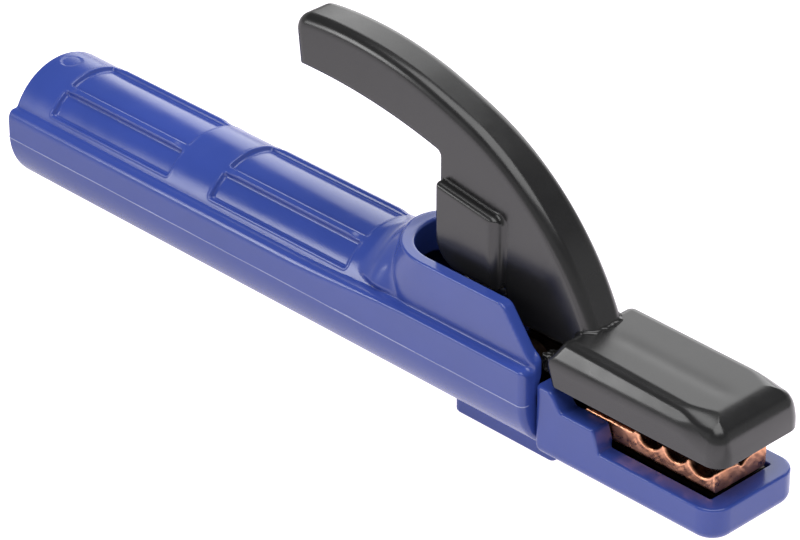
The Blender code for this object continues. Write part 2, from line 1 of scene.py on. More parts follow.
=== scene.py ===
"""Looks for the tong-type welding electrode holder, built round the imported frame.

The moulded and copper pieces are made again as fine skins of signed distance fields. A field is
negative inside its piece, so shapes are cut, joined and filleted by combining fields. Fields are in
handle coordinates, in millimetres: x from the sleeve's rear end, y from the mid-plane and z from the
sleeve's axis. The other CAD nodes stay, and get their edges and materials here.
"""

import json
import math

import bpy
import numpy as np
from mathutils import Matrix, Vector


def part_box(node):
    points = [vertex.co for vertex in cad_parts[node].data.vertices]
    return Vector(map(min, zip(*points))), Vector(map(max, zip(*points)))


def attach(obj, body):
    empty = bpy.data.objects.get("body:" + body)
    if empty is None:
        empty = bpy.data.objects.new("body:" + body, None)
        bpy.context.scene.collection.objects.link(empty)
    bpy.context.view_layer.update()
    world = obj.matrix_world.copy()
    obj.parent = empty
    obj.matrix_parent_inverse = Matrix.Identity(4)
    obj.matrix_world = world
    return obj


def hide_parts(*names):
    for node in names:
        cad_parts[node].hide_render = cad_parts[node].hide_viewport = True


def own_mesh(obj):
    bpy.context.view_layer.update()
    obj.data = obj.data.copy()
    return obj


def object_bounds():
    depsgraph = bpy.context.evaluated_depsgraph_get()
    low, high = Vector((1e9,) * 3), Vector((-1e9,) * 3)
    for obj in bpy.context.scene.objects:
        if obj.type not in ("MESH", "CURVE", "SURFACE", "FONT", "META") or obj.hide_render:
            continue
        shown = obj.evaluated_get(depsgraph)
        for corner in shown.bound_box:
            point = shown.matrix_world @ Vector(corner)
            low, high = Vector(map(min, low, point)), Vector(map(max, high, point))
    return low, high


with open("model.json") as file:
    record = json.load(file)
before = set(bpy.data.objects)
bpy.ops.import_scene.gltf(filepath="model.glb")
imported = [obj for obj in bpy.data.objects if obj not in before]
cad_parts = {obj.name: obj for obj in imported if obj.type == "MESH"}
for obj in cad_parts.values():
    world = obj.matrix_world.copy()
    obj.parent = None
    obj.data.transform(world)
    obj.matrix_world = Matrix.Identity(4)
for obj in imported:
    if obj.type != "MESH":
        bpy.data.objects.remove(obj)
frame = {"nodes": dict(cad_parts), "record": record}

CAD_BOX = [list(corner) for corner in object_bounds()]

# ---------------------------------------------------------------- places, from the frame

MM = 0.001
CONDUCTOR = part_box("conductor_body")
AXIS_Z = CONDUCTOR[0].z + CONDUCTOR[1].y  # half the round socket's width above its underside
SLEEVE_REAR = -0.6
ORIGIN = Vector((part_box("handle_sleeve")[0].x - SLEEVE_REAR * MM, 0, AXIS_Z))


def span(node):
    """The lowest and highest corners of a CAD node, in handle coordinates."""
    return [(corner - ORIGIN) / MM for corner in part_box(node)]


def middle_x(node):
    low, high = span(node)
    return (low.x + high.x) / 2


SLEEVE_LOW, SLEEVE_HIGH = span("handle_sleeve")
TRAY_LOW, TRAY_HIGH = span("lower_jaw_insulator")
JAW_LOW, JAW_HIGH = span("lower_jaw")
UPPER_LOW, UPPER_HIGH = span("upper_jaw")
LEVER_LOW, LEVER_HIGH = span("lever_grip")
COVER_LOW, COVER_HIGH = span("upper_jaw_cover")
SPRING_LOW, SPRING_HIGH = span("lever_spring")

GAP = 0.3  # clearance between pieces that sit in each other
HINGE = (178, 4)  # the lever turns about this x and z
COIL_X = 157.0  # the middle of the spring

# The sleeve: a round top over a wider half ellipse. Angles are round its axis, from +y upwards.
SLEEVE_HALF = SLEEVE_HIGH.y
SLEEVE_DEPTH = 16.8
SLEEVE_TOP_R = 17.1
SLEEVE_END = TRAY_LOW.x - GAP
BORE_R = 13.5
LEDGE_Z = 7.5
SEAM_Z = -0.3
MARK_X = 4.4
GRIP_DEPTH = 1.1
GRIP_SETS = ((12.5, 57.5), (73.0, 122.0))
GRIP_ANGLES = ((65, 115), (121.5, 147), (33, 58.5))
RIB_R = 17.6
RIB_ANGLES = ((59, 64.5), (115.5, 121))
SINK_R = 4.7  # the recess for the head of the screw that holds the sleeve

# The shroud round the lever's base, with its round back, and the keel under it.
SHROUD_HALF = 15.5
SHROUD_INNER = 12.0
SHROUD_BACK_X = 148.5
SHROUD_SLOPE = ((176.0, SLEEVE_HIGH.z), (SLEEVE_END, 9.4))
KEEL_HALF = 8.0
KEEL_REAR = 153.5
KEEL_TOP = -14.4

# The tray: its three levels from top to bottom, and the conductor's tongue that lies in it.
TRAY_STEP = 0.8
TRAY_TOP = -4.84
TRAY_UNDER = -13.8
TONGUE_LOW_Z = -9.0

# The jaws: round grooves across as (x, radius), with centres outside the face, and a V along.
JAW_HALF = JAW_HIGH.y
GROOVES = ((217.3, 3.7), (225.3, 3.7), (233.2, 4.05))
GROOVE_OUT = 1.1
V_REAR = JAW_LOW.x + 15.0

# The lever, in side view: arcs are (x, z, radius), and lines go through (x, z) points.
BACK_OVER_GRIP = (111.29, -39.78, 107.13)
BACK_OVER_JAWS = (126.26, -11.07, 75.19)
CROWN_X = 149.5
GRIP_UNDER = (101.28, -116.8, 170)
TIP_LINE = ((96.5, 53.4), (95.3, 64.0))
FOOT_LINE = ((168.3, 11.7), (167.2, 21.0))
FOOT_LOW_Z = 11.7
HOUSING_LEDGE = ((147.2, 41.1), (165.0, 38.4))
HOUSING_FRONT = 167.2
CORE_LINE = (HINGE, (174.5, 24), (166, 38.5), (150, 50.5), (126, 58.8))
WEB_HALF = 6.0
BOSS_HALF = LEVER_HIGH.y

# The upper jaw's cover, in side view, and its shoulder by distance inside the plan's edge.
COVER_REAR = ((190.3, 7.8), (188.8, 12.0), (192.6, 19.0))
COVER_TOP = ((192.5, 18.3), (242.5, 17.1))
COVER_SHOULDER = ((-2.7, 17.3), (0, 13.2))
CAVITY_REAR = 190.9
CAVITY_FRONT = 239.0
CAVITY_TOP = 12.5
NOTCH_HALF = 6.4


# ---------------------------------------------------------------- combining fields

def both(a, b, r=0.01):
    """Where both solids are, with their common edge rounded to radius r."""
    a = a + r
    b = b + r
    return np.hypot(np.maximum(a, 0), np.maximum(b, 0)) + np.minimum(np.maximum(a, b), 0) - r


def either(a, b, r=0.01):
    """Both solids joined, with a fillet of radius r in the corner between them."""
    return -both(-a, -b, r)


def minus(a, b, r=0.01):
    """The first solid with the second cut out, and the rim of the cut rounded."""
    return both(a, -b, r)


def slab(u, low, high):
    """The layer between two values of u."""
    return np.abs(u - (low + high) / 2) - (high - low) / 2


def smooth(u, low, high):
    """0 below low, 1 above high, and a smooth rise between."""
    t = np.clip((u - low) / (high - low), 0, 1)
    return t * t * (3 - 2 * t)


def disc(u, v, arc):
    """Distance outside a circle, given as its centre and radius."""
    centre_u, centre_v, radius = arc
    return np.hypot(u - centre_u, v - centre_v) - radius


def half_plane(u, v, start, end):
    """Distance to the line from start to end, positive on its left."""
    du = end[0] - start[0]
    dv = end[1] - start[1]
    return ((v - start[1]) * du - (u - start[0]) * dv) / math.hypot(du, dv)


def path_distance(u, v, points):
    """Distance to an open line of points."""
    best = np.inf
    for (u0, v0), (u1, v1) in zip(points, points[1:]):
        du = u1 - u0
        dv = v1 - v0
        share = np.clip(((u - u0) * du + (v - v0) * dv) / (du * du + dv * dv), 0, 1)
        best = np.minimum(best, np.hypot(u - u0 - share * du, v - v0 - share * dv))
    return best


def ripple(x, y, z, wavelength):
    """A smooth uneven pattern between about -1 and 1: four bent waves in different directions."""
    k = math.tau / wavelength
    total = 0
    for i in range(4):
        a = math.sin(1.7 * i + 0.4)
        b = math.sin(2.9 * i + 1.3)
        c = math.cos(2.3 * i + 0.7)
        bend = np.sin(k * 0.6 * (b * x - c * y + a * z))
        total = total + np.sin(k * (a * x + b * y + c * z) + 1.9 * i + bend)
    return total / 2.6


# ---------------------------------------------------------------- from field to mesh

SPREAD = 0.3  # how fast the spacing of grid lines grows away from a fine place
SETTLE_PASSES = 4
LONGEST_STEP = 0.15
LEAST_SLOPE = 0.3


def lines(low, high, coarse, *fine):
    """Grid lines coarse apart, and closer round each fine place, given as (place, reach, step)."""
    made = [low]
    while made[-1] < high:
        here = made[-1]
        steps = [step + max(0, abs(here - place) - reach) * SPREAD for place, reach, step in fine]
        made.append(here + min([coarse, *steps]))
    return np.array(made)


def gradient(field, points, reach=0.02):
    """The field's slope at each point, from its values a little ahead and behind."""
    slopes = []
    for axis in range(3):
        ahead = [points[:, i] + (reach if i == axis else 0) for i in range(3)]
        behind = [points[:, i] - (reach if i == axis else 0) for i in range(3)]
        slopes.append((field(*ahead) - field(*behind)) / (2 * reach))
    return np.stack(slopes, 1)


def net(values, grid):
    """Surface net: a vertex in each cell that the surface crosses, a quad for each crossed edge."""
    inside = values < 0
    cells = [n - 1 for n in inside.shape]
    count = np.zeros(cells, np.int8)
    for a in (0, 1):
        for b in (0, 1):
            for c in (0, 1):
                count += inside[a:cells[0] + a, b:cells[1] + b, c:cells[2] + c]
    crossed = (count > 0) & (count < 8)
    index = np.full(cells, -1, np.int64)
    index[crossed] = np.arange(crossed.sum())
    cell = np.stack(np.nonzero(crossed), 1)
    total = np.zeros((len(cell), 3))
    hits = np.zeros(len(cell))
    quads = []
    for axis in range(3):
        first, second = [i for i in range(3) if i != axis]
        for a in (0, 1):
            for b in (0, 1):
                start = cell.copy()
                start[:, first] += a
                start[:, second] += b
                end = start.copy()
                end[:, axis] += 1
                v0 = values[tuple(start.T)]
                v1 = values[tuple(end.T)]
                hit = (v0 < 0) != (v1 < 0)
                share = np.where(hit, v0 / np.where(hit, v0 - v1, 1), 0)[:, None]
                p0 = np.stack([grid[i][start[:, i]] for i in range(3)], 1)
                p1 = np.stack([grid[i][end[:, i]] for i in range(3)], 1)
                total += (p0 + (p1 - p0) * share) * hit[:, None]
                hits += hit
        lower = np.take(inside, range(cells[axis]), axis)
        upper = np.take(inside, range(1, cells[axis] + 1), axis)
        edge = np.stack(np.nonzero(lower != upper), 1)
        ring = []
        for a, b in ((1, 1), (0, 1), (0, 0), (1, 0)):
            corner = edge.copy()
            corner[:, first] -= a
            corner[:, second] -= b
            ring.append(index[tuple(corner.T)])
        ring = np.stack(ring, 1)
        outward = lower[tuple(edge.T)] != (axis == 1)
        quads.append(np.where(outward[:, None], ring, ring[:, ::-1]))
    return total / hits[:, None], np.concatenate(quads)


def in_scene(name, data):
    made = bpy.data.objects.new(name, data)
    bpy.context.scene.collection.objects.link(made)
    return made


def skin(name, field, xs, ys, zs):
    """A mesh object on the field's surface, with its normals taken from the field.

    Each pass moves the net's vertices along the field's slope, closer to the surface.
    """
    grid = (xs, ys, zs)
    values = field(xs[:, None, None], ys[None, :, None], zs[None, None, :])
    points, quads = net(np.ascontiguousarray(np.broadcast_to(values, [len(g) for g in grid])), grid)
    for _ in range(SETTLE_PASSES):
        slope = gradient(field, points)
        size = np.maximum((slope**2).sum(1), LEAST_SLOPE)
        step = slope * (field(*points.T) / size)[:, None]
        points = points - np.clip(step, -LONGEST_STEP, LONGEST_STEP)
    normals = gradient(field, points, 0.05)
    normals /= np.linalg.norm(normals, axis=1)[:, None] + 1e-9
    mesh = bpy.data.meshes.new(name)
    mesh.from_pydata(points * MM + np.array(ORIGIN), [], quads)
    mesh.shade_smooth()
    mesh.normals_split_custom_set_from_vertices(normals)
    print(name, len(quads), "quads")
    return in_scene(name, mesh)


# ---------------------------------------------------------------- handle sleeve

def between_angles(y, z, angles):
    """Distance outside the wedge between two angles round the axis."""
    low, high = [math.radians(a) for a in angles]
    return np.maximum(math.sin(low) * y - math.cos(low) * z, math.cos(high) * z - math.sin(high) * y)


def grip_pocket(x, y, z, radius, ends, angles):
    """A recess between two angles, with sloping walls and a floor parallel to the sleeve."""
    across = between_angles(y, z, angles)
    lean = (SLEEVE_TOP_R - radius) * 0.45
    walls = both(slab(x, *ends) + lean, across + lean * 0.5, 0.7)
    return both(walls, SLEEVE_TOP_R - GRIP_DEPTH - radius, 0.5)


def grip_rib(x, y, z, radius, ends, angles):
    """A proud rib between two recesses."""
    across = between_angles(y, z, angles)
    inward = -slab(x, *ends)
    proud = RIB_R - 0.7 * smooth(inward, 4, 0.5)
    return both(np.maximum(both(-inward, across, 1.6), 15 - radius), radius - proud, 0.4)


def sleeve_tube(x, y, z):
    """An arc above the ledge, and below it a wider half ellipse with round shoulders.

    It has the parting line along each side, a round mark near its end, the grips and the ribs.
    """
    radius = np.hypot(y, z)
    side = np.abs(y)
    low = np.minimum(z, 0)
    oval = np.hypot(side / SLEEVE_HALF, low / SLEEVE_DEPTH)
    oval = oval * (oval - 1) / (np.hypot(side / SLEEVE_HALF**2, low / SLEEVE_DEPTH**2) + 1e-6)
    seam = 0.13 * np.exp(-(((z - SEAM_Z) / 0.22) ** 2)) * (1 + 0.4 * ripple(x, 0, 0, 23))
    by_shroud = smooth(x, 104, 152)
    ledge = LEDGE_Z + 1.4 * by_shroud
    under = both(oval - seam, z - ledge - 0.4, 3.0 - 1.7 * by_shroud)
    over = np.maximum(radius - SLEEVE_TOP_R, 2 - z)
    tube = either(both(under, z - ledge, 0.4), over, 0.25)
    tube = tube + 0.16 * smooth(np.hypot(x - MARK_X, y), 3.1, 2.4) * (z > 0)
    for ends in GRIP_SETS:
        for angles in GRIP_ANGLES:
            pocket = grip_pocket(x, y, z, radius, ends, angles)
            rim = 0.1 * np.exp(-(((pocket - 0.35) / 0.3) ** 2)) * (radius > SLEEVE_TOP_R - 1)
            tube = minus(tube - rim, pocket, 0.25)
        for angles in RIB_ANGLES:
            tube = either(tube, grip_rib(x, y, z, radius, ends, angles), 0.4)
    return tube


def shroud(x, y, z):
    """Walls and round back of the lever's pocket, before the pocket is cut."""
    square = 2 + 1.2 * smooth(SLEEVE_HIGH.z - z, 0, 9)
    back = np.maximum(SHROUD_BACK_X - x, 0)
    plan = (back**square + np.abs(y) ** square) ** (1 / square) - SHROUD_HALF
    plan = both(plan, x - SLEEVE_END, 2.4)
    top = both(z - SLEEVE_HIGH.z, half_plane(x, z, *SHROUD_SLOPE), 1.2)
    return np.maximum(both(plan, top, 0.55), 2 - z)


def keel(x, y, z):
    """The flat-bottomed block under the sleeve's front."""
    low = both(both(SLEEVE_LOW.z - z, x - SLEEVE_HIGH.x, 2.8), KEEL_REAR - x, 1.2)
    return np.maximum(both(low, np.abs(y) - KEEL_HALF, 0.8), z - KEEL_TOP)


def sleeve_field(x, y, z):
    radius = np.hypot(y, z)
    flare = 0.8 + 8.5 * smooth(x, 142, 131) * smooth(z, LEDGE_Z - 0.5, LEDGE_Z + 3)
    tube = both(both(sleeve_tube(x, y, z), x - SLEEVE_END, 2.0), SLEEVE_REAR - x, 0.9)
    body = both(either(tube, shroud(x, y, z), flare), x - SLEEVE_END, 0.4)
    body = either(body, keel(x, y, z), 0.5)
    back = np.maximum(SHROUD_BACK_X - x, 0)
    pocket = both(np.hypot(back, y) - SHROUD_INNER, -z, 0.3)
    body = minus(body, radius - BORE_R, 0.6)
    body = minus(body, pocket, 0.8)
    screw = np.hypot(x - middle_x("handle_screw"), y)
    body = minus(body, np.maximum(screw - 2.8, z), 0.2)
    return minus(body, both(screw - SINK_R, z + 16.5, 0.3), 0.3)


def handle_sleeve():
    """The sleeve's skin, with fine grid lines at its edges, the grips' ends and the shroud."""
    ends = [(0, 1.2, 0.3), (SLEEVE_END - 0.6, 1.6, 0.3), (SLEEVE_HIGH.x, 0.6, 0.4)]
    ends += [(place, 0.7, 0.3) for pair in GRIP_SETS for place in pair]
    ends += [(MARK_X, 3.4, 0.5), (134, 5, 0.7), (143, 5, 0.85), (178, 6, 0.9)]
    ends += [(middle_x("handle_screw"), 5, 0.75)]
    edges = [math.radians(a) for pair in GRIP_ANGLES for a in pair]
    across = [(0, 3.3, 0.5)] + [(SLEEVE_TOP_R * math.cos(a), 0.3, 0.3) for a in edges]
    across += [(side * place, 0.4, 0.35) for side in (-1, 1) for place in (12, 15.5, 17.2)]
    up = [(SLEEVE_LOW.z, 0.5, 0.3), (SEAM_Z, 0.3, 0.14), (LEDGE_Z, 0.5, 0.25)]
    up += [(SLEEVE_HIGH.z, 0.7, 0.25)] + [(SLEEVE_TOP_R * math.sin(a), 0.3, 0.3) for a in edges]
    return skin(
        "sleeve_skin", sleeve_field,
        lines(SLEEVE_REAR - 0.8, SLEEVE_HIGH.x + 0.8, 2.6, *ends),
        lines(-19.3, 19.3, 0.82, *across),
        lines(SLEEVE_LOW.z - 0.8, SLEEVE_HIGH.z + 0.8, 0.82, *up),
    )


# ---------------------------------------------------------------- lower jaw tray

def tray_top(x):
    """Height of the tray's top: a shoulder by the sleeve, a step, and the flat round the jaw."""
    shoulder = TRAY_HIGH.z + (TRAY_STEP - TRAY_HIGH.z) * smooth(x, 190.7, 195.2)
    return shoulder + (TRAY_TOP - TRAY_STEP) * smooth(x, 204.4, 207.2)


def tray_field(x, y, z):
    """The tray: a boss below it, a wide slot for the jaw and a narrow one for the tongue behind."""
    side = np.abs(y)
    plan = both(both(side - TRAY_HIGH.y, x - TRAY_HIGH.x, 6.0), TRAY_LOW.x - x, 1.6)
    slope = (tray_top(x + 0.02) - tray_top(x - 0.02)) / 0.04
    body = both(plan, (z - tray_top(x)) / np.sqrt(1 + slope**2), 0.7)
    body = both(body, TRAY_UNDER - z, 3.0)
    boss_x = middle_x("tray_screw_front")
    boss = both(np.hypot(x - boss_x, y) - 9.5, TRAY_LOW.z - z, 0.8)
    body = either(body, np.maximum(boss, z + 12), 0.5)
    floor = TONGUE_LOW_Z - GAP - z
    slot = np.maximum(both(side - JAW_HALF - 1.2, x - JAW_HIGH.x - GAP, 0.5), 206.2 - x)
    narrow = np.maximum(side - JAW_HALF - GAP, x - 207)
    body = minus(body, np.maximum(np.minimum(slot, narrow), floor), 0.3)
    for screw_x, face in ((middle_x("tray_screw_rear"), TRAY_UNDER), (boss_x, TRAY_LOW.z)):
        screw = np.hypot(x - screw_x, y)
        body = minus(body, np.maximum(screw - 2.3, z), 0.1)
        body = minus(body, both(screw - 4.0, z - face - 2.6, 0.2), 0.3)
    return body


def lower_jaw_insulator():
    along = [(TRAY_LOW.x, 1.2, 0.3), (193, 2.5, 0.4), (205.8, 1.6, 0.25), (TRAY_HIGH.x, 2, 0.4)]
    along += [(JAW_HIGH.x, 0.5, 0.25), (middle_x("tray_screw_rear"), 5, 0.5)]
    sides = [(side * place, 0.5, 0.25) for side in (-1, 1) for place in (9.4, 10.3, 14.8)]
    up = [(TRAY_LOW.z, 0.8, 0.3), (TRAY_UNDER, 2.5, 0.4), (TRAY_TOP, 0.6, 0.22)]
    up += [(TRAY_STEP, 0.6, 0.25), (5, 0.6, 0.25)]
    return skin(
        "tray_skin", tray_field,
        lines(TRAY_LOW.x - 0.6, TRAY_HIGH.x + 0.6, 0.7, *along),
        lines(-15.8, 15.8, 0.7, *sides),
        lines(TRAY_LOW.z - 0.6, TRAY_HIGH.z + 0.6, 0.7, *up),
    )


# ---------------------------------------------------------------- lever

def lever_back(x, z):
    """The lever's back: a flatter arc over the grip that turns into a tighter one above the jaws."""
    share = smooth(x, CROWN_X - 12, CROWN_X + 12)
    return disc(x, z, BACK_OVER_GRIP) * (1 - share) + disc(x, z, BACK_OVER_JAWS) * share


def lever_web(x, y, z):
    """The grip's arm, the pillar over the spring and the foot at the cover.

    Its back has the largest rounding, and its tip has a thin line of flash down the middle.
    """
    side = np.abs(y)
    flash = 0.35 * np.exp(-((y / 0.4) ** 2)) * smooth(z, 53, 56) * smooth(z, 64, 61)
    tip = half_plane(x, z, *TIP_LINE) - flash
    crown = both(lever_back(x, z), tip, 4.6)
    under = -disc(x, z, GRIP_UNDER)
    pillar = np.minimum(both(145.6 - x, 20.2 - z, 6.6), np.maximum(186 - x, 12.6 - z))
    arm = both(crown, either(under, pillar, 1.0), 1.6)
    foot = both(np.maximum(x - 190.6, FOOT_LOW_Z - z), half_plane(x, z, *FOOT_LINE), 0.4)
    profile = either(arm, np.maximum(foot, z - 24), 0.4)
    return np.maximum(both(profile, side - WEB_HALF, 1.0), both(crown, side - WEB_HALF, 3.1))


def spring_housing(x, y, z):
    """The raised block on each side of the web, soft at its front edge."""
    face = np.abs(y) - BOSS_HALF
    ledge = half_plane(x, z, *HOUSING_LEDGE)
    front = x - HOUSING_FRONT
    outline = both(both(front, ledge, 2.4), both(146.6 - x, 19.0 - z, 8.0), 1.2)
    return np.maximum(both(outline, face, 1.5), both(front, face, 3.0))


def lever_field(x, y, z):
    """The web and the spring's housing, a beaded lip along the cover, and hollows for the core."""
    side = np.abs(y)
    web = lever_web(x, y, z)
    body = either(web, spring_housing(x, y, z), 0.35 + 0.8 * smooth(x, 163, 167))
    bead = 0.55 + 0.2 * ripple(x, y, z, 3.4)
    lip = np.maximum(np.hypot(web - 0.1, cover_shell(x, y, z)) - bead, 189.8 - x)
    body = either(body, lip, 0.3)
    slot = np.maximum(path_distance(x, z, CORE_LINE) - 4.3, side - 3.3)
    socket = np.maximum(np.hypot(x - middle_x("lever_spring"), y) - 7.3, z - 22.9)
    return minus(minus(body, slot), socket, 0.2)


def lever_grip():
    along = [(96.2, 2.0, 0.4), (146.2, 1.2, 0.3), (166, 1.2, 0.35), (192.5, 3.5, 0.33)]
    sides = [(side * place, 0.4, 0.25) for side in (-1, 1) for place in (5.7, 8.5, 3.3)]
    up = [(FOOT_LOW_Z, 0.5, 0.3), (18.4, 1.8, 0.3), (40, 2, 0.35)]
    return skin(
        "lever_skin", lever_field,
        lines(LEVER_LOW.x - 2.8, LEVER_HIGH.x + 3.0, 0.75, *along),
        lines(-9.4, 9.4, 0.6, (0, 0.8, 0.3), *sides),
        lines(LEVER_LOW.z - 0.8, LEVER_HIGH.z + 0.8, 0.75, *up),
    )


# ---------------------------------------------------------------- upper jaw cover

def rough_skirt(x, y, z):
    """The ragged black edge that the moulding leaves round the hinge's front, behind the tray."""
    turn = np.hypot(x - HINGE[0], z - HINGE[1])
    ring = np.maximum(slab(turn, 7.1, 11.2), np.maximum(np.abs(y) - 10.4, slab(z, 6.2, 10.5)))
    ragged = 0.25 * ripple(x, y, z, 3.7) + 0.15 * ripple(x, y, z, 1.5)
    return np.maximum(ring + ragged, 184 - x)


def cover_shell(x, y, z):
    """The cover's outside, before the cavity is cut: sloping shoulders and a steep rear face.

    The top is dished a little along its middle, and the edges are softer towards the front.
    """
    side = np.abs(y)
    rear_low = half_plane(x, z, *COVER_REAR[:2])
    rear_high = half_plane(x, z, *COVER_REAR[1:])
    sink = 0.15 * np.exp(-(((y + 1.2) / 2.2) ** 2)) * smooth(x, 195, 203) * smooth(x, 238, 230)
    top = half_plane(x, z, *COVER_TOP) + sink
    plan = both(side - COVER_HIGH.y, x - COVER_HIGH.x, 4.5)
    shoulder = half_plane(plan, z, *COVER_SHOULDER)
    soften = smooth(x, 229, 241)
    body = both(both(plan, shoulder, 0.9 + 1.8 * soften), top, 1.5 + 3.3 * soften)
    body = both(body, both(rear_low, rear_high, 1.5), 1.6)
    return both(body, COVER_LOW.z - z, 0.5)


def cover_field(x, y, z):
    """The cover with the jaw's cavity, a notch behind it for the lever's core, and a screw hole."""
    side = np.abs(y)
    body = either(cover_shell(x, y, z), rough_skirt(x, y, z), 0.4)
    cavity = np.maximum(side - JAW_HALF - GAP, x - CAVITY_FRONT)
    cavity = np.maximum(cavity, np.maximum(CAVITY_REAR - x, z - CAVITY_TOP))
    notch = np.maximum(side - NOTCH_HALF, x - CAVITY_REAR)
    screw = np.hypot(x - middle_x("cover_screw"), y)
    thread = np.maximum(screw - 2.0, z - 16.8)
    return minus(body, np.minimum(np.minimum(cavity, notch), thread), 0.25)


def upper_jaw_cover():
    sides = [(side * place, 0.4, 0.25) for side in (-1, 1) for place in (9.4, NOTCH_HALF)]
    sides += [(side * 13.2, 1.7, 0.33) for side in (-1, 1)]
    return skin(
        "cover_skin", cover_field,
        lines(COVER_LOW.x - 8, COVER_HIGH.x + 0.6, 0.8, (186.5, 5.5, 0.35), (240.0, 3, 0.3)),
        lines(-15.2, 15.2, 0.8, *sides),
        lines(COVER_LOW.z - 1.4, COVER_HIGH.z + 0.6, 0.6, (COVER_LOW.z, 0.6, 0.2), (15.2, 3.0, 0.3)),
    )


# ---------------------------------------------------------------- jaws

def cut_seats(body, x, y, z, face, up):
    """A jaw with the electrode's seats cut into its face: round grooves across, and a V along.

    The face looks up where up is 1, and down where it is -1.
    """
    grooves = np.inf
    for groove_x, radius in GROOVES:
        grooves = np.minimum(grooves, np.hypot(x - groove_x, z - face - up * GROOVE_OUT) - radius)
    dish = 1.3 * np.exp(-((y / 5.5) ** 2)) + 1.2 * np.exp(-(((y - 0.5) / 1.1) ** 2))
    along = np.maximum(up * (face - z) - dish, V_REAR - x)
    return minus(minus(body, grooves, 0.75), along, 0.5)


def lower_jaw_field(x, y, z):
    side = np.abs(y)
    rough = 0.035 * ripple(x, y, z, 4.1) + 0.02 * ripple(x, y, z, 1.7)
    top = z - JAW_HIGH.z + 0.7 * smooth(x, 212.8, 211.9)
    body = both(both(slab(x, JAW_LOW.x, JAW_HIGH.x), side - JAW_HALF, 0.35), JAW_LOW.z - z, 0.3)
    body = both(body, (side - JAW_HALF - z - 3.7) / math.sqrt(2), 0.2)
    body = both(body, top, 0.3 + 0.4 * smooth(x, 213, 211)) + rough * smooth(z, JAW_LOW.z, -2)
    body = cut_seats(body, x, y, z, JAW_HIGH.z, 1)
    for node in ("tray_screw_rear", "tray_screw_front"):
        body = minus(body, np.maximum(np.hypot(x - middle_x(node), y) - 2.0, z + 1.0))
    return body


def upper_jaw_field(x, y, z):
    side = np.abs(y)
    body = both(slab(x, UPPER_LOW.x, UPPER_HIGH.x), side - UPPER_HIGH.y, 0.35)
    body = both(body, slab(z, UPPER_LOW.z, UPPER_HIGH.z), 0.3)
    body = cut_seats(body, x, y, z, UPPER_LOW.z, -1)
    screw = np.hypot(x - middle_x("upper_jaw_screw"), y)
    body = minus(body, screw - 2.0)
    return minus(body, np.maximum(screw - 3.6, z - 4.8), 0.2)


def jaw(name, field, low, high):
    """A jaw's skin between its lowest and highest corners, with fine grid lines at its faces."""
    return skin(
        name, field,
        lines(low.x - 0.5, high.x + 0.5, 0.42, (high.x, 0.5, 0.2), (low.x, 0.5, 0.2)),
        lines(low.y - 0.5, high.y + 0.5, 0.42, (low.y, 0.5, 0.2), (high.y, 0.5, 0.2)),
        lines(low.z - 0.5, high.z + 0.5, 0.3),
    )


# ---------------------------------------------------------------- spring

def spring():
    """Round wire coiled between the washer and the cap, with closed ends."""
    wire = 0.9
    coil_r = 5.4
    turns = 6.5
    closed = 0.75
    taper = 0.5
    steps = 364
    around = 14
    bottom = SPRING_LOW.z + wire
    rise = SPRING_HIGH.z - wire - bottom
    points = []
    for i in range(steps + 1):
        done = turns * i / steps
        angle = math.tau * done
        climb = min(1, max(0, (done - closed) / (turns - 2 * closed)))
        end = min(done, turns - done) * math.tau * coil_r
        thick = wire * math.sqrt(max(0.02, 1 - max(0, 1 - end / taper) ** 2))
        for k in range(around):
            turn = math.tau * k / around
            radius = coil_r + thick * math.cos(turn)
            height = bottom + rise * climb + thick * math.sin(turn)
            points.append((COIL_X + radius * math.cos(angle), radius * math.sin(angle), height))
    faces = [list(range(around)), [steps * around + k for k in reversed(range(around))]]
    for i in range(steps):
        for k in range(around):
            a = i * around + k
            b = i * around + (k + 1) % around
            faces.append((a, a + around, b + around, b))
    mesh = bpy.data.meshes.new("spring_skin")
    mesh.from_pydata([Vector(p) * MM + ORIGIN for p in points], [], faces)
    mesh.shade_smooth()
    return in_scene("spring_skin", mesh)


# ---------------------------------------------------------------- materials

def mix_sockets(node, kind):
    """The two inputs and the output of a mix node that carry one kind of value."""
    first, second = [s for s in node.inputs if s.type == kind and s.name in ("A", "B")]
    return first, second, [s for s in node.outputs if s.type == kind][0]


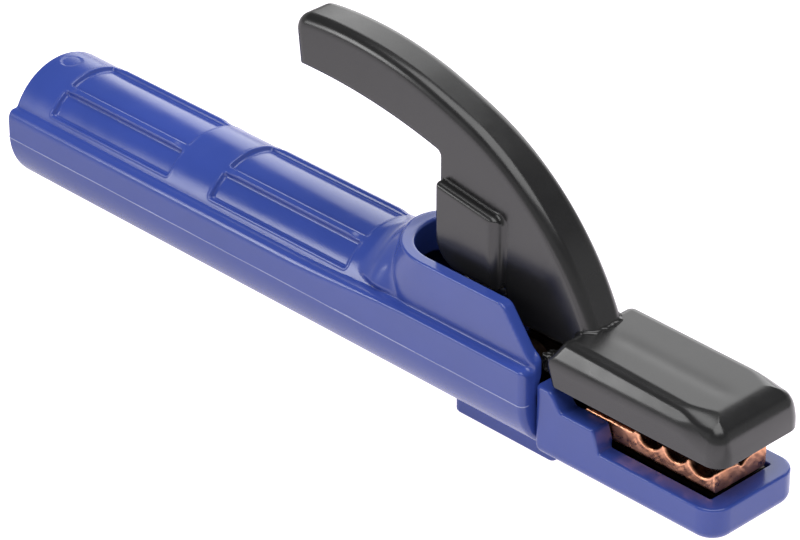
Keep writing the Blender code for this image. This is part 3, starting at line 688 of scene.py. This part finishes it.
class Surface:
    """A Principled material that is put together from named node calls."""

    def __init__(self, name):
        self.made = bpy.data.materials.new(name)
        self.made.use_nodes = True
        self.tree = self.made.node_tree
        self.shader = self.tree.nodes["Principled BSDF"]
        self.place = self.node("ShaderNodeTexCoord").outputs["Object"]

    def node(self, kind, **settings):
        made = self.tree.nodes.new(kind)
        for key, value in settings.items():
            setattr(made, key, value)
        return made

    def put(self, socket, value):
        """Links the socket to another socket, or sets its value."""
        if isinstance(value, bpy.types.NodeSocket):
            self.tree.links.new(value, socket)
        else:
            socket.default_value = value

    def noise(self, scale, detail=3, rough=0.5, stretch=(1, 1, 1)):
        mapping = self.node("ShaderNodeMapping")
        self.put(mapping.inputs["Vector"], self.place)
        mapping.inputs["Scale"].default_value = stretch
        made = self.node("ShaderNodeTexNoise")
        self.put(made.inputs["Vector"], mapping.outputs["Vector"])
        made.inputs["Scale"].default_value = scale
        made.inputs["Detail"].default_value = detail
        made.inputs["Roughness"].default_value = rough
        return made.outputs["Fac"]

    def between(self, factor, low, high):
        """Values from low to high as the factor goes over the noise's usual range."""
        made = self.node("ShaderNodeMapRange")
        self.put(made.inputs["Value"], factor)
        made.inputs["From Min"].default_value = 0.3
        made.inputs["From Max"].default_value = 0.7
        made.inputs["To Min"].default_value = low
        made.inputs["To Max"].default_value = high
        return made.outputs["Result"]

    def mix(self, kind, factor, values):
        """The first value where the factor is 0 and the second where it is 1."""
        made = self.node("ShaderNodeMix", data_type="RGBA" if kind == "RGBA" else "FLOAT")
        self.put(made.inputs["Factor"], factor)
        *inputs, result = mix_sockets(made, kind)
        for socket, value in zip(inputs, values):
            self.put(socket, value)
        return result

    def blend(self, factor, first, second):
        """A mix of two colours, each a socket or red, green and blue."""
        colors = [c if isinstance(c, bpy.types.NodeSocket) else (*c, 1) for c in (first, second)]
        return self.mix("RGBA", factor, colors)

    def ramp(self, axis, low, high, size=False, to=(0, 1)):
        """A value that follows a coordinate, or its size, as that goes from low to high.

        The coordinate is the world's at rest, in metres.
        """
        split = self.node("ShaderNodeSeparateXYZ")
        self.put(split.inputs[0], self.place)
        value = split.outputs[axis]
        if size:
            value = self.calculate("ABSOLUTE", value)
        made = self.node("ShaderNodeMapRange")
        self.put(made.inputs["Value"], value)
        made.inputs["From Min"].default_value = low
        made.inputs["From Max"].default_value = high
        made.inputs["To Min"].default_value = to[0]
        made.inputs["To Max"].default_value = to[1]
        return made.outputs["Result"]

    def calculate(self, operation, *values):
        made = self.node("ShaderNodeMath", operation=operation)
        for socket, value in zip(made.inputs, values):
            self.put(socket, value)
        return made.outputs[0]

    def product(self, value, *others):
        for other in others:
            value = self.calculate("MULTIPLY", value, other)
        return value

    def bump(self, height, distance, before=None):
        made = self.node("ShaderNodeBump")
        self.put(made.inputs["Height"], height)
        made.inputs["Distance"].default_value = distance
        made.inputs["Strength"].default_value = 1.0
        if before is not None:
            self.put(made.inputs["Normal"], before)
        return made.outputs["Normal"]

    def finish(self, color, roughness, metallic=0.0, normal=None, **extra):
        self.put(self.shader.inputs["Base Color"], color)
        self.put(self.shader.inputs["Roughness"], roughness)
        self.shader.inputs["Metallic"].default_value = metallic
        if normal is not None:
            self.put(self.shader.inputs["Normal"], normal)
        for key, value in extra.items():
            self.shader.inputs[key.replace("_", " ")].default_value = value
        return self.made


def world_x(x):
    return x * MM + ORIGIN.x


def world_z(z):
    return z * MM + ORIGIN.z


# Pale blue painted along the parting line as a painted highlight.
SEAM_HIGHLIGHT_COLOR = (0.42, 0.45, 0.68)
# Dark browns laid over copper and brass as painted shade.
SHADE_BROWNS = ((0.008, 0.005, 0.004), (0.035, 0.022, 0.016))
GRAIN_DEPTH = 0.000001


def moulded(name, dark, light, rough, wave, ior, painted_highlight=None):
    """Glossy moulded plastic: slow waves from shrinkage, a faint grain and slightly uneven colour.

    The last argument is a function that gives where a pale painted highlight goes over the colour.
    """
    s = Surface(name)
    color = s.blend(s.between(s.noise(45), 0, 1), dark, light)
    if painted_highlight:
        # painted highlight: the pale colour is blended in where the function says
        color = s.blend(painted_highlight(s), color, SEAM_HIGHLIGHT_COLOR)
    roughness = s.between(s.noise(160, 4), *rough)
    normal = s.bump(s.noise(38, 2), wave)
    normal = s.bump(s.noise(2600), GRAIN_DEPTH, normal)
    return s.finish(color, roughness, normal=normal, IOR=ior)


def metal(name, dark, light, rough, scale, depth, painted_shade=None):
    """Metal with uneven colour and shine. The last argument is a function that gives where dark
    painted shade goes over the colour.
    """
    s = Surface(name)
    color = s.blend(s.between(s.noise(scale * 0.5, 4), 0, 1), dark, light)
    if painted_shade:
        # painted shade: dark browns blended in where the function says
        color = s.blend(painted_shade(s), color, s.blend(s.noise(scale), *SHADE_BROWNS))
    roughness = s.between(s.noise(scale, 4, 0.6), *rough)
    normal = s.bump(s.noise(scale * 3, 5, 0.65), depth)
    return s.finish(color, roughness, 1.0, normal)


def parting_line_painted_highlight(s):
    """A painted highlight: a pale line along the parting line on both sides of the handle."""
    seam = world_z(SEAM_Z)
    above = s.ramp("Z", seam + 0.00024, seam)
    below = s.ramp("Z", seam - 0.00024, seam)
    patchy = s.between(s.noise(60), 0.45, 1.0)
    return s.product(above, below, patchy, s.ramp("Y", 0.0162, 0.0168, size=True))


def brass_painted_shade(s):
    """Painted shade: the brass turns dark from the hinge on towards the jaws."""
    return s.ramp("X", world_x(164), world_x(172))


def jaw_painted_shade(s):
    """Painted shade on the electrode's seats: all of the upper jaw, and the inner part of the lower
    one, under the cover.
    """
    upper = s.ramp("Z", world_z(1.9), world_z(2.5))
    seats = s.product(
        s.ramp("X", world_x(212.4), world_x(213.2)),
        s.ramp("X", world_x(237.05), world_x(236.8)),
        s.ramp("Y", (JAW_HALF - 0.25) * MM, (JAW_HALF - 0.7) * MM, size=True),
        s.ramp("Z", world_z(-3.0), world_z(-2.5)),
    )
    patchy = s.between(s.noise(380, 4), 0.7, 1.0)
    return s.product(s.calculate("MAXIMUM", upper, seats), patchy)


def fibre():
    s = Surface("pressed_fibre")
    layers = s.noise(900, 4, 0.6, stretch=(1, 1, 4))
    color = s.blend(layers, (0.22, 0.06, 0.03), (0.40, 0.13, 0.07))
    return s.finish(color, 0.72, normal=s.bump(s.noise(1500), 0.00004))


def materials():
    """Every material, by its slot. Wave and depth are in metres."""
    return {
        # the blue plastic carries a painted highlight along the parting line
        "blue_plastic": moulded(
            "blue_plastic", dark=(0.031, 0.060, 0.285), light=(0.035, 0.066, 0.315),
            rough=(0.17, 0.24), wave=0.00010, ior=1.5, painted_highlight=parting_line_painted_highlight,
        ),
        "black_plastic": moulded(
            "black_plastic", dark=(0.013, 0.013, 0.0135), light=(0.016, 0.016, 0.0165),
            rough=(0.20, 0.27), wave=0.00012, ior=1.48,
        ),
        # the copper carries painted shade on the jaws' seats and the upper jaw
        "copper": metal(
            "copper", dark=(0.50, 0.22, 0.12), light=(0.72, 0.36, 0.22),
            rough=(0.22, 0.40), scale=420, depth=0.00002, painted_shade=jaw_painted_shade,
        ),
        # the brass carries painted shade from the hinge on towards the jaws
        "brass": metal(
            "brass", dark=(0.52, 0.37, 0.15), light=(0.68, 0.51, 0.24),
            rough=(0.34, 0.52), scale=420, depth=0.00006, painted_shade=brass_painted_shade,
        ),
        "steel": metal(
            "zinc_steel", dark=(0.50, 0.50, 0.51), light=(0.62, 0.62, 0.63),
            rough=(0.26, 0.40), scale=700, depth=0.00001,
        ),
        "spring_steel": metal(
            "spring_steel", dark=(0.12, 0.12, 0.13), light=(0.22, 0.22, 0.23),
            rough=(0.32, 0.46), scale=500, depth=0.00001,
        ),
        "fibre": fibre(),
    }


# ---------------------------------------------------------------- the holder

SURFACES = materials()
SLOTS = {part["node"]: part["material_slot"] for part in frame["record"]["subparts"]}
SHARP_ANGLE = math.radians(35)
BEVEL = 0.0002


def stand_in(piece, node, body):
    """The piece shows in the CAD node's place, moves with its body and has its material."""
    piece.data.materials.clear()
    piece.data.materials.append(SURFACES[SLOTS[node]])
    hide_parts(node)
    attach(piece, body)


def keep_cad_node(name, node):
    """A CAD node that is shown: its material, a small bevel on its edges and smooth round faces."""
    node.data.materials.clear()
    node.data.materials.append(SURFACES[SLOTS[name]])
    low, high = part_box(name)
    bevel = node.modifiers.new("edges", "BEVEL")
    bevel.width = min(BEVEL, min(high - low) / 12)
    bevel.segments = 2
    bevel.limit_method = "ANGLE"
    bevel.angle_limit = SHARP_ANGLE
    bevel.harden_normals = True
    node.data.shade_smooth()
    node.data.set_sharp_from_angle(angle=SHARP_ANGLE)


stand_in(handle_sleeve(), "handle_sleeve", "holder")
stand_in(lower_jaw_insulator(), "lower_jaw_insulator", "holder")
stand_in(lever_grip(), "lever_grip", "lever")
stand_in(upper_jaw_cover(), "upper_jaw_cover", "lever")
stand_in(jaw("lower_jaw_skin", lower_jaw_field, JAW_LOW, JAW_HIGH), "lower_jaw", "holder")
stand_in(jaw("upper_jaw_skin", upper_jaw_field, UPPER_LOW, UPPER_HIGH), "upper_jaw", "lever")
coil = spring()
stand_in(coil, "lever_spring", "holder")
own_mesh(coil)

for name, node in frame["nodes"].items():
    if not node.hide_render:
        keep_cad_node(name, node)


# ---------------------------------------------------------------- floor, light and camera

SKY_BRIGHT = 0.5
SKY_STOPS = ((0.40, SKY_BRIGHT), (0.55, 0.10), (0.80, 0.12), (0.95, SKY_BRIGHT))
SKY_TO_CAMERA = 1.2
FLOOR_TO_CAMERA = 1.3
FLOOR_SIDE = 4.0
FLOOR_DROP = 0.0003


def floor():
    """White to the camera. In reflections it is brighter under the jaws and dimmer below the holder.

    As a light on the sides it is weaker than in reflections.
    """
    side = FLOOR_SIDE
    mesh = bpy.data.meshes.new("floor")
    corners = [(-side, -side, 0), (side, -side, 0), (side, side, 0), (-side, side, 0)]
    mesh.from_pydata(corners, [], [(0, 1, 2, 3)])
    made = in_scene("floor", mesh)
    made.location.z = CAD_BOX[0][2] - FLOOR_DROP
    s = Surface("pale_floor")
    glow = s.ramp("X", -0.26, 0.06, to=(0.75, 1.75))
    mirrored = s.product(glow, s.ramp("Y", 0.02, 0.06, size=True, to=(0.55, 1.0)))
    spread = s.product(glow, 0.4)
    path = s.node("ShaderNodeLightPath").outputs
    strength = s.mix("VALUE", path["Is Diffuse Ray"], (mirrored, spread))
    strength = s.mix("VALUE", path["Is Camera Ray"], (strength, FLOOR_TO_CAMERA))
    s.put(s.shader.inputs["Emission Strength"], strength)
    material = s.finish((0.35, 0.34, 0.35, 1), 0.6, Emission_Color=(1.0, 0.94, 1.0, 1))
    material.cycles.emission_sampling = "NONE"
    mesh.materials.append(material)


def stand_off(name, data, azimuth, elevation, distance, aim=Vector()):
    """A light or camera that looks at its aim from a compass direction, as the views name them."""
    a = math.radians(azimuth)
    e = math.radians(elevation)
    away = Vector((math.sin(a) * math.cos(e), -math.cos(a) * math.cos(e), math.sin(e)))
    made = in_scene(name, data)
    made.location = aim + away * distance
    made.rotation_euler = away.to_track_quat("Z", "Y").to_euler()
    return made


def area(name, azimuth, elevation, distance, size, power):
    """A soft rectangular light."""
    light = bpy.data.lights.new(name, "AREA")
    light.shape = "RECTANGLE"
    light.size, light.size_y = size
    light.energy = power
    stand_off(name, light, azimuth, elevation, distance)


def grey(value):
    return (value, value, value, 1)


def sky():
    """White to the camera. As a light: bright at the horizon and overhead, and dim between."""
    world = bpy.data.worlds.new("studio")
    world.use_nodes = True
    bpy.context.scene.world = world
    nodes = world.node_tree.nodes
    link = world.node_tree.links.new
    place = nodes.new("ShaderNodeTexCoord")
    split = nodes.new("ShaderNodeSeparateXYZ")
    ramp = nodes.new("ShaderNodeValToRGB")
    link(place.outputs["Generated"], split.inputs[0])
    link(split.outputs["Z"], ramp.inputs["Fac"])
    stops = ramp.color_ramp.elements
    stops[0].color = grey(SKY_BRIGHT)
    stops[1].color = grey(SKY_BRIGHT)
    for height, value in SKY_STOPS:
        stops.new(height).color = grey(value)
    seen = nodes.new("ShaderNodeMix")
    seen.data_type = "RGBA"
    as_light, to_camera, result = mix_sockets(seen, "RGBA")
    path = nodes.new("ShaderNodeLightPath")
    link(path.outputs["Is Camera Ray"], seen.inputs["Factor"])
    link(ramp.outputs["Color"], as_light)
    to_camera.default_value = grey(SKY_TO_CAMERA)
    background = nodes["Background"]
    link(result, background.inputs["Color"])
    background.inputs["Strength"].default_value = 1.0


def camera():
    lens = bpy.data.cameras.new("camera")
    lens.lens = 185.3
    lens.sensor_width = 36
    aim = Vector((126.39, 0, 4.77)) * MM + ORIGIN
    bpy.context.scene.camera = stand_off("camera", lens, 45.42, 30.47, 1.0057, aim)


floor()
sky()
area("overhead", azimuth=60, elevation=80, distance=1.3, size=(1.3, 1.3), power=18.6)
area("back", azimuth=207.5, elevation=27, distance=1.3, size=(1.08, 1.05), power=7.8)
area("left", azimuth=318.5, elevation=22, distance=0.9, size=(0.26, 0.285), power=1.8)
camera()
bpy.context.scene.view_settings.view_transform = "Standard"
